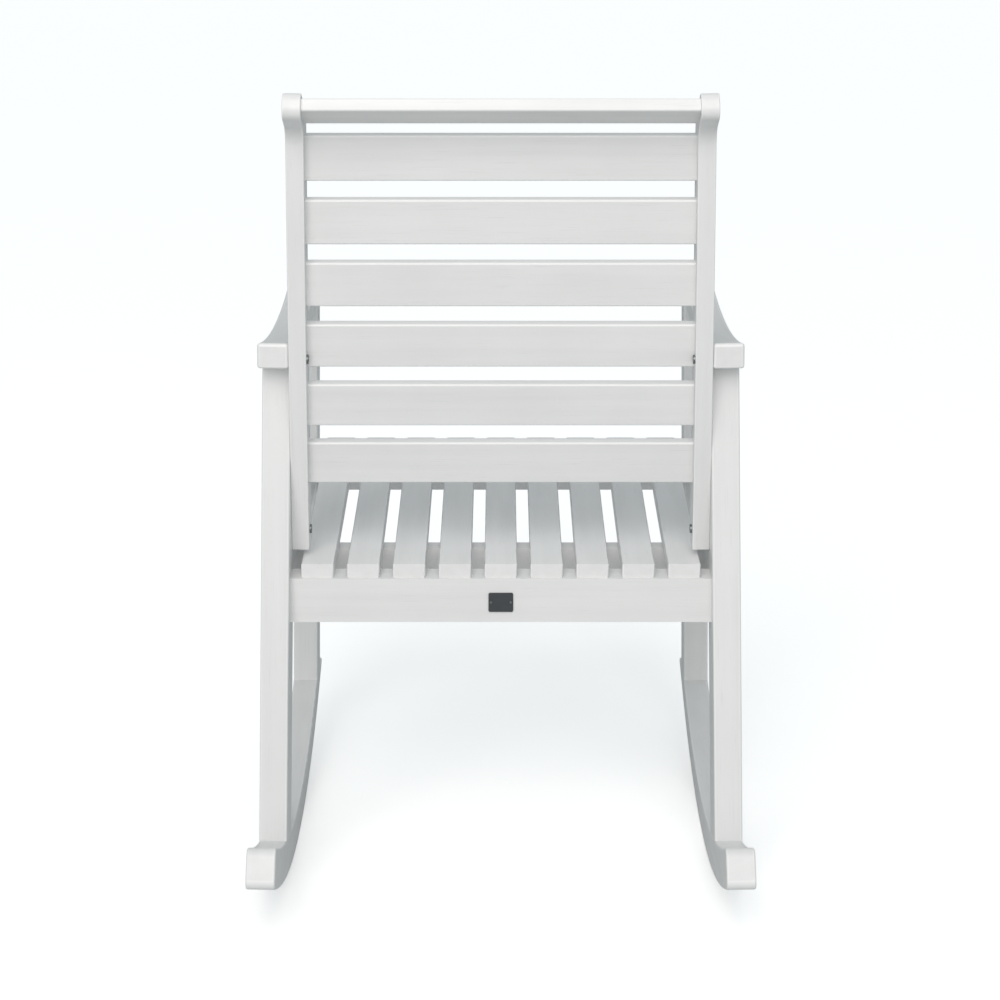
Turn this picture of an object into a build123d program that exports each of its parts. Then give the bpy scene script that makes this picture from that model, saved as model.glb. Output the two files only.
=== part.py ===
from build123d import *
import math
import os

# A slatted wooden rocking chair. Millimetres, +Z up, the sitter faces -Y and sits left at +X.
# The origin is on the floor, at the middle of the chair's outline.
# Each side frame is drawn upright and then leans in towards the top by SPLAY degrees, about a
# line at PIVOT_Z, so the chair stands a little wider on the floor than at the arms.

# Side frames
SPLAY = 1.0
PIVOT_Z = 460.0
OUTER_X = 288.0
FRAME_T = 34.0
INNER_X = OUTER_X - FRAME_T
LEG_MID_X = (INNER_X + OUTER_X) / 2

# Rockers: the floor arc, the upper arc, the flat that carries the front leg, and the rising lip.
# The lift brings the inner lower edge, which the lean would sink, up onto the floor.
ROCKER_R = 880.0
ROCKER_Y = -3.5
ROCKER_LIFT = 0.47
ROCKER_REAR_Y = 388.0
ROCKER_FRONT_Y = -389.0
ROCKER_TOP_R = 850.0
ROCKER_TOP_Y = -19.0
ROCKER_MID_T = 42.5
ROCKER_FLAT_Y = -306.0
ROCKER_LIP_Y = -352.0
ROCKER_LIP_RISE = 3.0
ROCKER_HEEL_H = 48.0
ROCKER_TOE_SLOPE = 5.0

# Legs
REAR_FOOT_Y = 218.0
REAR_FOOT_Z = 76.0
REAR_RAKE = 7.7
REAR_LEG_D = 66.0
REAR_LEG_BELOW = 45.0
FRONT_LEG_Y = -300.0
FRONT_LEG_D = 50.0
FRONT_LEG_START_Z = 60.0
LEG_STOCK = 640.0
FRONT_LEG_MID_Y = FRONT_LEG_Y - FRONT_LEG_D / 2

# Arms: a board sawn to a shallow dip
ARM_R = 1400.0
ARM_LOW_Y = -100.0
ARM_LOW_Z = 661.0
ARM_T = 30.0
ARM_W = 37.0
ARM_REAR_Y = 173.0
ARM_FRONT_Y = -366.0

# Back: the slats' rear faces lie on an arc that leans back less and less towards the top
BACK_Y = 137.3
BACK_Z = 531.5
BACK_LEAN = 10.6
BACK_R = 4500.0
BACK_SLATS = 6
BACK_PITCH = 76.3
BACK_SLAT_H = 54.0
BACK_SLAT_T = 15.0
TENON = 8.0
POST_T = 21.0
POST_INNER_X = INNER_X - POST_T
POST_REAR = 13.5
POST_FRONT = 32.5
POST_FOOT = -112.0
POST_MIDDLE = 140.0
POST_WAIST = 385.0
POST_SHOULDER = 425.0
POST_OVER = 6.0
ROLL_LEAN = 65.0
ROLL_W = 31.0
CREST_Y = 201.8
CREST_Z = 957.2
CREST_W = 48.7

# Seat
SEAT_SLATS = 9
SEAT_SLAT_W = 39.5
SEAT_HALF = 242.0
SEAT_PITCH = (2 * SEAT_HALF - SEAT_SLAT_W) / (SEAT_SLATS - 1)
SEAT_T = 17.5
SEAT_REAR = (157.0, 410.3)
SEAT_MID = (-83.5, 423.5)
SEAT_FRONT = (-324.0, 444.6)
RAIL_T = 20.0
REAR_RAIL_Y = 160.8
REAR_RAIL_Z = 337.5
REAR_MID_Y = REAR_RAIL_Y - RAIL_T / 2
CLEAT_Y = REAR_RAIL_Y - RAIL_T
CLEAT_T = 15.5
CLEAT_Z = 372.0
CROSS_RAIL_Y = 52.0
CROSS_RAIL_Z = 360.0
CROSS_MID_Y = CROSS_RAIL_Y - RAIL_T / 2
FRONT_RAIL_Y = -301.0
FRONT_RAIL_Z = 371.5
FRONT_MID_Y = FRONT_RAIL_Y - RAIL_T / 2
SIDE_RAIL_T = 22.0
SIDE_RAIL_H = 50.0
SIDE_RAIL_DROP = 3.0
SIDE_RAIL_REAR_Y = 150.0

# Nameplate
PLATE_W = 30.0
PLATE_H = 24.0
PLATE_T = 1.5
PLATE_Z = 363.0
PLATE_CORNER = 2.0
PIN_X = 12.0
PIN_R = 0.8
PIN_DEPTH = 8.0
PIN_HEAD_R = 1.6
PIN_HEAD_L = 0.8

# Bolts, and the inserts and barrel nuts they screw into: places are (y, z)
BOLT_R = 3.0
BOLT_HEAD_R = 5.5
SOCKET_R = 2.3
SOCKET_SHARE = 0.6
INSERT_R = 4.5
INSERT_L = 20.0
BARREL_R = 5.0
COUNTERBORE_R = 6.5
POST_BOLTS = ((118.0, 444.0), (166.2, 667.5))
POST_BOLT_L = 40.0
POST_HEAD_L = 2.4
RAIL_BOLTS = ((REAR_MID_Y, 365.0), (FRONT_MID_Y, 398.0))
RAIL_HEAD_X = OUTER_X - 8.0
RAIL_HEAD_L = 6.0
RAIL_BOLT_END = INNER_X - 42.0
NUT_X = INNER_X - 30.0
NUT_STOP = 4.0

# Dowels: places are (y, z)
DOWEL_R = 4.0
LEG_DOWEL_R = 5.0
DOWEL_IN_RAIL = 20.0
DOWEL_IN_LEG = 18.0
SIDE_DOWEL_REACH = 20.0
RAIL_DOWELS = (
    (REAR_MID_Y, 347.0),
    (REAR_MID_Y, 383.0),
    (FRONT_MID_Y, 383.0),
    (FRONT_MID_Y, 417.0),
    (CROSS_MID_Y, 371.0),
    (CROSS_MID_Y, 389.0),
)
FRONT_SIDE_DOWEL_Z = (406.5, 428.0)
REAR_SIDE_DOWEL_Z = (373.0, 395.0)
SIDE_DOWEL_MID_Z = 385.0
REAR_FOOT_DOWEL_Y = (168.0, 200.0)
REAR_ARM_DOWEL_Y = (90.0, 116.0)
FRONT_LEG_DOWEL_Y = (FRONT_LEG_MID_Y - 13.0, FRONT_LEG_MID_Y + 13.0)
REAR_FOOT_DOWEL_DOWN = 22.0
FRONT_FOOT_DOWEL_DOWN = 18.0
FOOT_DOWEL_UP = 24.0
ARM_DOWEL_DOWN = 20.0
ARM_DOWEL_UP = 16.0
SEAT_DOWEL_DOWN = 12.0
SEAT_DOWEL_UP = 11.0

# Screws
SCREW_R = 2.0
SCREW_HEAD_R = 3.5
SCREW_HEAD_L = 3.0
REAR_SCREW_L = 34.0
MIDDLE_SCREW_L = 35.0
CLEAT_SCREW_L = 30.0
WELL_DEPTH = 15.0
CLEAT_SCREW_Z = 382.0
POCKET_X = 262.0
POCKET_Z = 634.0
POCKET_SLANT = 20.0
POCKET_R = 4.5
POCKET_DEPTH = 45.0
POCKET_HEAD = 4.0
POCKET_SCREW_L = 32.0

# Limits of the shapes that only cut others, and the two edge roundings
FAR = 1500.0
BEYOND_FRONT_Y = -450.0
BEYOND_REAR_Y = 300.0
LONG_EDGE = 400.0
EDGE = 2.5
ARRIS = 1.5


def turn(point, angle, distance):
    """The point reached from `point` after `distance` along a line `angle` degrees behind plumb."""
    lean = math.radians(angle)
    return (point[0] + distance * math.sin(lean), point[1] + distance * math.cos(lean))


def back_point(along, behind=0.0):
    """A point of the back: `along` the slat arc from the lowest slat, and `behind` its rear face."""
    start = math.radians(BACK_LEAN)
    here = start - along / BACK_R
    y = BACK_Y + BACK_R * (math.cos(here) - math.cos(start)) + behind * math.cos(here)
    z = BACK_Z + BACK_R * (math.sin(start) - math.sin(here)) - behind * math.sin(here)
    return (y, z)


def back_lean(along):
    """Degrees that the back leans behind plumb at `along`."""
    return BACK_LEAN - math.degrees(along / BACK_R)


def closed_face(*edges):
    """The flat face inside edges that are drawn as (y, z)."""
    return make_face(Curve() + list(edges))


def polygon(*points):
    """The flat face inside straight sides."""
    return make_face(Polyline(*points, close=True))


def round_at(face, point, radius):
    """Rounds the corner of the face that is nearest to the point."""
    corner = face.vertices().sort_by_distance(Vector(point[0], point[1], 0))[0]
    return fillet(corner, radius)


def board(face, low_x, thickness):
    """A board lying in a side frame: the (y, z) face, from low_x outwards."""
    return Pos(low_x, 0, 0) * extrude(Plane.YZ * face, thickness)


def across(face, half=300.0):
    """A piece that runs from side to side: the (y, z) face, from -half to half."""
    return Pos(-half, 0, 0) * extrude(Plane.YZ * face, 2 * half)


def rod_x(y, z, radius, low_x, high_x):
    """A round rod along X."""
    rod = Cylinder(radius, high_x - low_x, align=(Align.CENTER, Align.CENTER, Align.MIN))
    return Pos(low_x, y, z) * Rot(0, 90, 0) * rod


def rod_y(x, z, radius, low_y, high_y):
    """A round rod along Y."""
    rod = Cylinder(radius, high_y - low_y, align=(Align.CENTER, Align.CENTER, Align.MIN))
    return Pos(x, high_y, z) * Rot(90, 0, 0) * rod


def rod_z(x, y, radius, low_z, high_z):
    """A round rod along Z."""
    return Pos(x, y, low_z) * Cylinder(
        radius, high_z - low_z, align=(Align.CENTER, Align.CENTER, Align.MIN)
    )


def long_edges(shape):
    """The edges of a straight board that run along it."""
    return shape.edges().filter_by(lambda edge: edge.length > LONG_EDGE)


def splayed(shape):
    """Leans a piece of the upright left side frame in to its place."""
    return shape.rotate(Axis((OUTER_X, 0, PIVOT_Z), (0, 1, 0)), -SPLAY)


def mirrored(shape):
    """The right-hand twin of a left-hand piece."""
    return mirror(shape, about=Plane.YZ)


def pair(shapes):
    """Left-hand pieces, leaned in, with their right-hand twins."""
    left = [splayed(shape) for shape in shapes]
    return left + [mirrored(shape) for shape in left]


def between_sides(limit_x):
    """The room between the two planes that stand at limit_x in the upright side frames."""
    room = Pos(limit_x - FAR, 0, 0) * Box(2 * FAR, 2 * FAR, 2 * FAR)
    left = splayed(room)
    return left & mirrored(left)


def cut(shape, tools):
    """The shape without every tool."""
    for tool in tools:
        shape = shape - tool
    return shape


def rocker_floor(y):
    """Height of the rocker's underside at y."""
    return ROCKER_LIFT + ROCKER_R - math.sqrt(ROCKER_R**2 - (y - ROCKER_Y) ** 2)


def rocker_top(y):
    """Height of the rocker's upper arc at y."""
    centre_z = ROCKER_MID_T + ROCKER_TOP_R
    return centre_z - math.sqrt(ROCKER_TOP_R**2 - (y - ROCKER_TOP_Y) ** 2)


def rocker():
    """A rocker: thick at the heel, thin at the toe, with a level seat for the front leg."""
    heel = (ROCKER_REAR_Y, rocker_floor(ROCKER_REAR_Y))
    toe_y = ROCKER_FRONT_Y + ROCKER_TOE_SLOPE
    toe = (toe_y, rocker_floor(toe_y))
    tilt = math.degrees(math.asin((ROCKER_REAR_Y - ROCKER_Y) / ROCKER_R))
    heel_top_y = turn(heel, -tilt, ROCKER_HEEL_H)[0]
    heel_top = (heel_top_y, rocker_top(heel_top_y))
    flat_start = (ROCKER_FLAT_Y, rocker_top(ROCKER_FLAT_Y))
    lip = (ROCKER_LIP_Y, rocker_top(ROCKER_FLAT_Y))
    nose = (ROCKER_FRONT_Y, rocker_top(ROCKER_FLAT_Y) + ROCKER_LIP_RISE)
    floor = (ROCKER_Y, rocker_floor(ROCKER_Y))
    middle = (ROCKER_TOP_Y, rocker_top(ROCKER_TOP_Y))
    face = closed_face(
        ThreePointArc(toe, floor, heel),
        Line(heel, heel_top),
        ThreePointArc(heel_top, middle, flat_start),
        Line(flat_start, lip),
        Line(lip, nose),
        Line(nose, toe),
    )
    for corner, radius in ((heel, 10), (heel_top, 13), (nose, 4), (toe, 3)):
        face = round_at(face, corner, radius)
    body = board(face, INNER_X, FRAME_T)
    return fillet(body.faces().filter_by(Axis.X).edges(), EDGE)


def arm_height(y, drop=0.0):
    """Height of the arm's dipped top at y, less drop measured square to it."""
    radius = ARM_R + drop
    return ARM_LOW_Z + ARM_R - math.sqrt(radius**2 - (y - ARM_LOW_Y) ** 2)


def arm_arc(drop, low_y, high_y):
    """The arc of the arm at the given drop, between two places."""
    points = [(y, arm_height(y, drop)) for y in (low_y, (low_y + high_y) / 2, high_y)]
    return ThreePointArc(*points)


def arm():
    """An arm: one board, dipped in the middle, with eased edges."""
    top = arm_arc(0.0, ARM_FRONT_Y, ARM_REAR_Y)
    under = arm_arc(ARM_T, ARM_FRONT_Y, ARM_REAR_Y)
    face = closed_face(top, under, Line(top @ 0, under @ 0), Line(top @ 1, under @ 1))
    face = round_at(face, ((top @ 0).X, (top @ 0).Y), 12)
    face = round_at(face, ((under @ 0).X, (under @ 0).Y), 8)
    face = round_at(face, ((top @ 1).X, (top @ 1).Y), 4)
    face = round_at(face, ((under @ 1).X, (under @ 1).Y), 3)
    body = board(face, INNER_X, ARM_W)
    return fillet(body.faces().filter_by(Axis.X).edges(), 3.5)


def above_arm():
    """Everything from the arm's underside up, in the side frame."""
    under = arm_arc(ARM_T, BEYOND_FRONT_Y, BEYOND_REAR_Y)
    lid = 900.0
    face = closed_face(
        under,
        Polyline(under @ 1, (BEYOND_REAR_Y, lid), (BEYOND_FRONT_Y, lid), under @ 0),
    )
    return board(face, INNER_X - 5, FRAME_T + 10)


def below_legs():
    """Everything from the rocker's upper side down, in the side frame."""
    floor = -50.0
    start = (BEYOND_REAR_Y, rocker_top(BEYOND_REAR_Y))
    middle = (ROCKER_TOP_Y, rocker_top(ROCKER_TOP_Y))
    end = (ROCKER_FLAT_Y, rocker_top(ROCKER_FLAT_Y))
    sides = ((BEYOND_FRONT_Y, end[1]), (BEYOND_FRONT_Y, floor), (BEYOND_REAR_Y, floor))
    face = closed_face(ThreePointArc(start, middle, end), Polyline(end, *sides, start))
    return board(face, INNER_X - 5, FRAME_T + 10)


def rear_leg():
    """A raked rear leg, from the rocker to the arm."""
    foot = turn((REAR_FOOT_Y, REAR_FOOT_Z), -REAR_RAKE, -REAR_LEG_BELOW)
    head = turn((REAR_FOOT_Y, REAR_FOOT_Z), -REAR_RAKE, LEG_STOCK)
    face = polygon(foot, head, (head[0] - REAR_LEG_D, head[1]), (foot[0] - REAR_LEG_D, foot[1]))
    body = board(face, INNER_X, FRAME_T)
    body = fillet(long_edges(body), EDGE)
    return body - above_arm() - below_legs()


def front_leg():
    """An upright front leg, from the rocker's flat to the arm."""
    body = Pos(INNER_X, FRONT_LEG_Y, FRONT_LEG_START_Z) * Box(
        FRAME_T, FRONT_LEG_D, LEG_STOCK, align=(Align.MIN, Align.MAX, Align.MIN)
    )
    body = fillet(body.edges().filter_by(Axis.Z), EDGE)
    return body - above_arm() - below_legs()


def seat_arc(drop):
    """The seat's line in side view, `drop` below its top."""
    return ThreePointArc(*[(y, z - drop) for y, z in (SEAT_REAR, SEAT_MID, SEAT_FRONT)])


def seat_height(y, drop=0.0):
    """Height of the seat's top at y, less drop."""
    line = seat_arc(drop)
    share = (SEAT_REAR[0] - y) / (SEAT_REAR[0] - SEAT_FRONT[0])
    return (line @ share).Y


def side_rail():
    """The rail between the two legs of a side frame, along the seat."""
    rear_z = seat_height(SIDE_RAIL_REAR_Y) - SIDE_RAIL_DROP
    front_z = seat_height(FRONT_LEG_Y) - SIDE_RAIL_DROP
    face = polygon(
        (SIDE_RAIL_REAR_Y, rear_z),
        (FRONT_LEG_Y, front_z),
        (FRONT_LEG_Y, front_z - SIDE_RAIL_H),
        (SIDE_RAIL_REAR_Y, rear_z - SIDE_RAIL_H),
    )
    rail = board(face, INNER_X, SIDE_RAIL_T)
    return fillet(long_edges(rail), EDGE)


def back_post():
    """A back post: it follows the back, then rolls over backwards at its top."""
    crest = (CREST_Y, CREST_Z)
    rolled = turn(crest, ROLL_LEAN, CREST_W + POST_OVER)
    knee = turn(crest, ROLL_LEAN + 90, ROLL_W / 2)
    end_low = turn(rolled, ROLL_LEAN + 90, ROLL_W / 2)
    end_high = turn(rolled, ROLL_LEAN - 90, ROLL_W / 2)
    setback = end_high[0] - back_point(POST_SHOULDER, -POST_FRONT)[0]
    shoulder = turn(end_high, ROLL_LEAN, -setback / math.sin(math.radians(ROLL_LEAN)))
    foot_rear = back_point(POST_FOOT, POST_REAR)
    foot_front = back_point(POST_FOOT, -POST_FRONT)
    waist_rear = back_point(POST_WAIST, POST_REAR)
    waist_front = back_point(POST_WAIST, -POST_FRONT)
    face = closed_face(
        ThreePointArc(foot_rear, back_point(POST_MIDDLE, POST_REAR), waist_rear),
        Polyline(waist_rear, knee, end_low, end_high, shoulder, waist_front),
        ThreePointArc(waist_front, back_point(POST_MIDDLE, -POST_FRONT), foot_front),
        Line(foot_front, foot_rear),
    )
    roundings = (
        (knee, 30),
        (shoulder, 48),
        (end_low, 13),
        (end_high, 13),
        (foot_rear, 3),
        (foot_front, 3),
    )
    for corner, radius in roundings:
        face = round_at(face, corner, radius)
    body = board(face, POST_INNER_X, POST_T)
    return fillet(body.faces().filter_by(Axis.X).edges(), ARRIS)


def slat_section(centre, lean, width, thickness):
    """A slat's (y, z) section: width along the lean, thickness forward of the centre."""
    section = fillet(Rectangle(thickness, width).vertices(), EDGE)
    return Pos(centre[0], centre[1]) * Rot(0, 0, -lean) * Pos(-thickness / 2, 0) * section


def back_slat(number):
    """One back slat, counted from the top, tenoned into both posts."""
    along = (BACK_SLATS - number) * BACK_PITCH
    section = slat_section(back_point(along), back_lean(along), BACK_SLAT_H, BACK_SLAT_T)
    return across(section) & between_sides(POST_INNER_X + TENON)


def crest_rail():
    """The top slat, laid over backwards in the roll of the posts."""
    half = BACK_SLAT_T / 2
    middle = turn((CREST_Y, CREST_Z), ROLL_LEAN, CREST_W / 2)
    face_centre = turn(middle, ROLL_LEAN + 90, half)
    section = slat_section(face_centre, ROLL_LEAN, CREST_W, BACK_SLAT_T)
    return across(section) & between_sides(POST_INNER_X + TENON)


def seat_slat(number):
    """One seat slat, counted from the sitter's left, with a rounded front end; its x comes first."""
    x = SEAT_HALF - SEAT_SLAT_W / 2 - (number - 1) * SEAT_PITCH
    top = seat_arc(0.0)
    under = seat_arc(SEAT_T)
    face = closed_face(top, under, Line(top @ 0, under @ 0), Line(top @ 1, under @ 1))
    face = round_at(face, SEAT_FRONT, 11)
    face = round_at(face, (SEAT_FRONT[0], SEAT_FRONT[1] - SEAT_T), 4)
    body = board(face, x - SEAT_SLAT_W / 2, SEAT_SLAT_W)
    return x, fillet(body.faces().filter_by(Axis.X).edges(), 2)


def above_seat():
    """Everything from the seat slats' underside up."""
    under = seat_arc(SEAT_T)
    lid = 600.0
    rear = turn((SEAT_REAR[0], SEAT_REAR[1] - SEAT_T), 90, 60)
    face = closed_face(
        under,
        Polyline(under @ 1, (SEAT_FRONT[0] - 40, (under @ 1).Y), (SEAT_FRONT[0] - 40, lid)),
        Polyline((SEAT_FRONT[0] - 40, lid), (rear[0], lid), rear, under @ 0),
    )
    return across(face, 320.0)


def cross_member(rear_y, low_z, depth):
    """A rail from side to side, its top cut to the underside of the seat slats."""
    face = Pos(rear_y, low_z) * Rectangle(depth, 90, align=(Align.MAX, Align.MIN))
    return (across(face) - above_seat()) & between_sides(INNER_X)


def bolt_x(y, z, head_x, head_l, length):
    """A socket-head bolt: the head ends at head_x and the shank runs on from there towards +X."""
    head = rod_x(y, z, BOLT_HEAD_R, head_x - head_l, head_x)
    shank = rod_x(y, z, BOLT_R, head_x, head_x + length)
    key = extrude(RegularPolygon(SOCKET_R, 6), head_l * SOCKET_SHARE)
    socket = Pos(head_x - head_l, y, z) * Rot(0, 90, 0) * key
    return head + shank - socket


def post_bolts():
    """The bolts that hold a back post, their low heads on its inner face."""
    return [bolt_x(y, z, POST_INNER_X, POST_HEAD_L, POST_BOLT_L) for y, z in POST_BOLTS]


def post_bolt_holes():
    """The holes of a back post's bolts."""
    return [rod_x(y, z, BOLT_R, POST_INNER_X, POST_INNER_X + POST_BOLT_L) for y, z in POST_BOLTS]


def insert_bodies():
    """The inserts as plain rods: the lower one sits in the leg and the upper one in the arm."""
    return [rod_x(y, z, INSERT_R, INNER_X, INNER_X + INSERT_L) for y, z in POST_BOLTS]


def rail_bolts():
    """The bolts that pull a side frame onto the rear and front rails, heads outwards."""
    length = RAIL_HEAD_X - RAIL_BOLT_END
    return [mirrored(bolt_x(y, z, -RAIL_HEAD_X, RAIL_HEAD_L, length)) for y, z in RAIL_BOLTS]


def rail_bolt_holes():
    """The holes of the rail bolts, each with its counterbore in the leg."""
    holes = []
    for y, z in RAIL_BOLTS:
        shank = rod_x(y, z, BOLT_R, RAIL_BOLT_END, RAIL_HEAD_X)
        holes.append(shank + rod_x(y, z, COUNTERBORE_R, RAIL_HEAD_X, OUTER_X + 2))
    return holes


def barrel_bodies():
    """The barrel nuts as plain rods, each let in from the rail's inner face."""
    rear_y, rear_z = RAIL_BOLTS[0]
    front_y, front_z = RAIL_BOLTS[1]
    reach = RAIL_T / 2
    return [
        rod_y(NUT_X, rear_z, BARREL_R, rear_y - reach, rear_y + reach - NUT_STOP),
        rod_y(NUT_X, front_z, BARREL_R, front_y - reach + NUT_STOP, front_y + reach),
    ]


def rail_dowels():
    """Two dowels from each rail into a leg, or into the side rail."""
    return [rod_x(y, z, DOWEL_R, INNER_X - DOWEL_IN_RAIL, INNER_X + DOWEL_IN_LEG) for y, z in RAIL_DOWELS]


def side_rail_dowels():
    """Two dowels from each end of the side rail into the leg there."""
    x = INNER_X + SIDE_RAIL_T / 2
    rise = SIDE_DOWEL_MID_Z - REAR_FOOT_Z
    rear_y = REAR_FOOT_Y - REAR_LEG_D - math.tan(math.radians(REAR_RAKE)) * rise
    places = [(FRONT_LEG_Y, z) for z in FRONT_SIDE_DOWEL_Z] + [(rear_y, z) for z in REAR_SIDE_DOWEL_Z]
    return [rod_y(x, z, DOWEL_R, y - SIDE_DOWEL_REACH, y + SIDE_DOWEL_REACH) for y, z in places]


def leg_dowel(y, z, down, up):
    """A dowel along a leg, reaching down and up from the joint at z."""
    return rod_z(LEG_MID_X, y, LEG_DOWEL_R, z - down, z + up)


def rocker_dowels():
    """Two dowels from each leg into the rocker."""
    flat_z = rocker_top(ROCKER_FLAT_Y)
    rear = [
        leg_dowel(y, rocker_top(y), REAR_FOOT_DOWEL_DOWN, FOOT_DOWEL_UP)
        for y in REAR_FOOT_DOWEL_Y
    ]
    front = [leg_dowel(y, flat_z, FRONT_FOOT_DOWEL_DOWN, FOOT_DOWEL_UP) for y in FRONT_LEG_DOWEL_Y]
    return rear + front


def arm_dowels():
    """Two dowels from each leg up into the arm."""
    return [
        leg_dowel(y, arm_height(y, ARM_T), ARM_DOWEL_DOWN, ARM_DOWEL_UP)
        for y in REAR_ARM_DOWEL_Y + FRONT_LEG_DOWEL_Y
    ]


def on_pocket_axis(low, high, radius):
    """A rod on the slanting line of the screw that holds the arm down."""
    place = Pos(POCKET_X, FRONT_LEG_MID_Y, POCKET_Z) * Rot(0, POCKET_SLANT, 0)
    return place * rod_z(0, 0, radius, low, high)


def write(name, shapes):
    """Writes one node: a solid, or a group of separate solids."""
    solids = [solid for shape in shapes for solid in shape.solids()]
    node = solids[0] if len(solids) == 1 else Compound(children=solids)
    export_step(node, f"parts/{name}.step")


def write_both(name, shape):
    """Writes a leaned-in left-hand piece and its right-hand twin."""
    write(f"{name}_left", [shape])
    write(f"{name}_right", [mirrored(shape)])


def make_side_frames():
    """Writes the rockers, legs, arms and side rails, and what fastens only them."""
    feet = rocker_dowels()
    heads = arm_dowels()
    sides = side_rail_dowels()
    rails = rail_dowels()
    bolt_holes = rail_bolt_holes()
    inserts = insert_bodies()
    screw_head = on_pocket_axis(-POCKET_HEAD, 0, POCKET_HEAD)
    screw_shank = on_pocket_axis(0, POCKET_SCREW_L, SCREW_R)
    pocket = on_pocket_axis(-POCKET_DEPTH, 0, POCKET_R)
    leg_rear = rear_leg()
    write_both("rocker", splayed(cut(rocker(), feet)))
    write_both("arm", splayed(cut(arm(), heads + inserts[1:] + [screw_shank])))
    write_both("side_rail", splayed(cut(side_rail(), [leg_rear] + sides + rails)))
    write_both("rear_leg", splayed(cut(leg_rear, feet + heads + sides + rails + inserts + bolt_holes)))
    leg_front = cut(front_leg(), feet + heads + sides + rails + bolt_holes)
    write_both("front_leg", splayed(cut(leg_front, [pocket, screw_shank])))
    write("rocker_dowels", pair(feet))
    write("arm_dowels", pair(heads))
    write("side_rail_dowels", pair(sides))
    write("arm_pocket_screws", pair([screw_head + screw_shank]))


def make_back():
    """Writes the back posts, their bolts and inserts, the crest rail and the back slats."""
    slats = [back_slat(number) for number in range(1, BACK_SLATS + 1)]
    crest = crest_rail()
    holes = post_bolt_holes()
    write_both("back_post", cut(splayed(cut(back_post(), holes)), slats + [crest]))
    write("crest_rail", [crest])
    for number, slat in enumerate(slats, start=1):
        write(f"back_slat_{number}", [slat])
    write("back_post_bolts", pair(post_bolts()))
    write("back_post_inserts", pair([body - hole for body, hole in zip(insert_bodies(), holes)]))


def slat_screw(x, y, head_z, length):
    """A screw from below into a seat slat; its head starts at head_z."""
    head = rod_z(x, y, SCREW_HEAD_R, head_z, head_z + SCREW_HEAD_L)
    return head + rod_z(x, y, SCREW_R, head_z, head_z + length)


def make_seat_slats():
    """Writes the nine seat slats; returns their screws, screw wells and front dowels."""
    screws = []
    wells = []
    dowels = []
    head_z = CROSS_RAIL_Z + WELL_DEPTH
    dowel_z = seat_height(FRONT_MID_Y, SEAT_T)
    for number in range(1, SEAT_SLATS + 1):
        x, slat = seat_slat(number)
        rear_screw = slat_screw(x, CLEAT_Y - CLEAT_T / 2, CLEAT_Z, REAR_SCREW_L)
        middle_screw = slat_screw(x, CROSS_MID_Y, head_z, MIDDLE_SCREW_L)
        dowel = rod_z(x, FRONT_MID_Y, DOWEL_R, dowel_z - SEAT_DOWEL_DOWN, dowel_z + SEAT_DOWEL_UP)
        write(f"seat_slat_{number}", [cut(slat, [rear_screw, middle_screw, dowel])])
        screws += [rear_screw, middle_screw]
        wells.append(rod_z(x, CROSS_MID_Y, SCREW_HEAD_R, CROSS_RAIL_Z - 1, head_z))
        dowels.append(dowel)
    return screws, wells, dowels


def cleat_screws():
    """Four screws that hold the cleat against the rear rail, each between two seat slats."""
    front_y = CLEAT_Y - CLEAT_T
    screws = []
    for share in (-3.5, -1.5, 1.5, 3.5):
        x = share * SEAT_PITCH
        head = rod_y(x, CLEAT_SCREW_Z, SCREW_HEAD_R, front_y, front_y + SCREW_HEAD_L)
        screws.append(head + rod_y(x, CLEAT_SCREW_Z, SCREW_R, front_y, front_y + CLEAT_SCREW_L))
    return screws


def make_seat(pins):
    """Writes the seat slats, the rails under them and everything that fastens them."""
    slat_screws, wells, front_dowels = make_seat_slats()
    rear_rail = cross_member(REAR_RAIL_Y, REAR_RAIL_Z, RAIL_T)
    cleat = cross_member(CLEAT_Y, CLEAT_Z, CLEAT_T)
    cross_rail = cross_member(CROSS_RAIL_Y, CROSS_RAIL_Z, RAIL_T)
    front_rail = cross_member(FRONT_RAIL_Y, FRONT_RAIL_Z, RAIL_T)
    bodies = barrel_bodies()
    holes = rail_bolt_holes()
    dowels = rail_dowels()
    screws = cleat_screws()
    tools = pair(dowels + holes + bodies)
    write("rear_rail", [cut(rear_rail, tools + screws + pins)])
    write("rear_cleat", [cut(cleat, screws + slat_screws)])
    write("cross_rail", [cut(cross_rail, tools + slat_screws + wells)])
    write("front_rail", [cut(front_rail, tools + front_dowels)])
    write("rail_bolts", pair(rail_bolts()))
    write("rail_barrel_nuts", pair([body - hole for body, hole in zip(bodies, holes)]))
    write("rail_dowels", pair(dowels))
    write("cleat_screws", screws)
    write("seat_slat_screws", slat_screws)
    write("seat_front_dowels", front_dowels)


def plate_pin(x):
    """A pin of the nameplate, with a low round head."""
    head_y = REAR_RAIL_Y + PLATE_T
    shank = rod_y(x, PLATE_Z, PIN_R, REAR_RAIL_Y - PIN_DEPTH, head_y)
    return shank + rod_y(x, PLATE_Z, PIN_HEAD_R, head_y, head_y + PIN_HEAD_L)


def make_nameplate(pins):
    """Writes the small blank plate on the rear rail, and its pins."""
    low_rear = (Align.CENTER, Align.MIN, Align.CENTER)
    plate = Pos(0, REAR_RAIL_Y, PLATE_Z) * Box(PLATE_W, PLATE_T, PLATE_H, align=low_rear)
    plate = fillet(plate.edges().filter_by(Axis.Y), PLATE_CORNER)
    write("nameplate", [cut(plate, pins)])
    write("nameplate_pins", pins)


def main():
    """Makes every piece and writes it to parts/."""
    os.makedirs("parts", exist_ok=True)
    pins = [plate_pin(-PIN_X), plate_pin(PIN_X)]
    make_side_frames()
    make_back()
    make_seat(pins)
    make_nameplate(pins)


main()
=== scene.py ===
"""A white, slatted rocking chair: visible boards, finishes and studio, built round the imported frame."""

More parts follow.
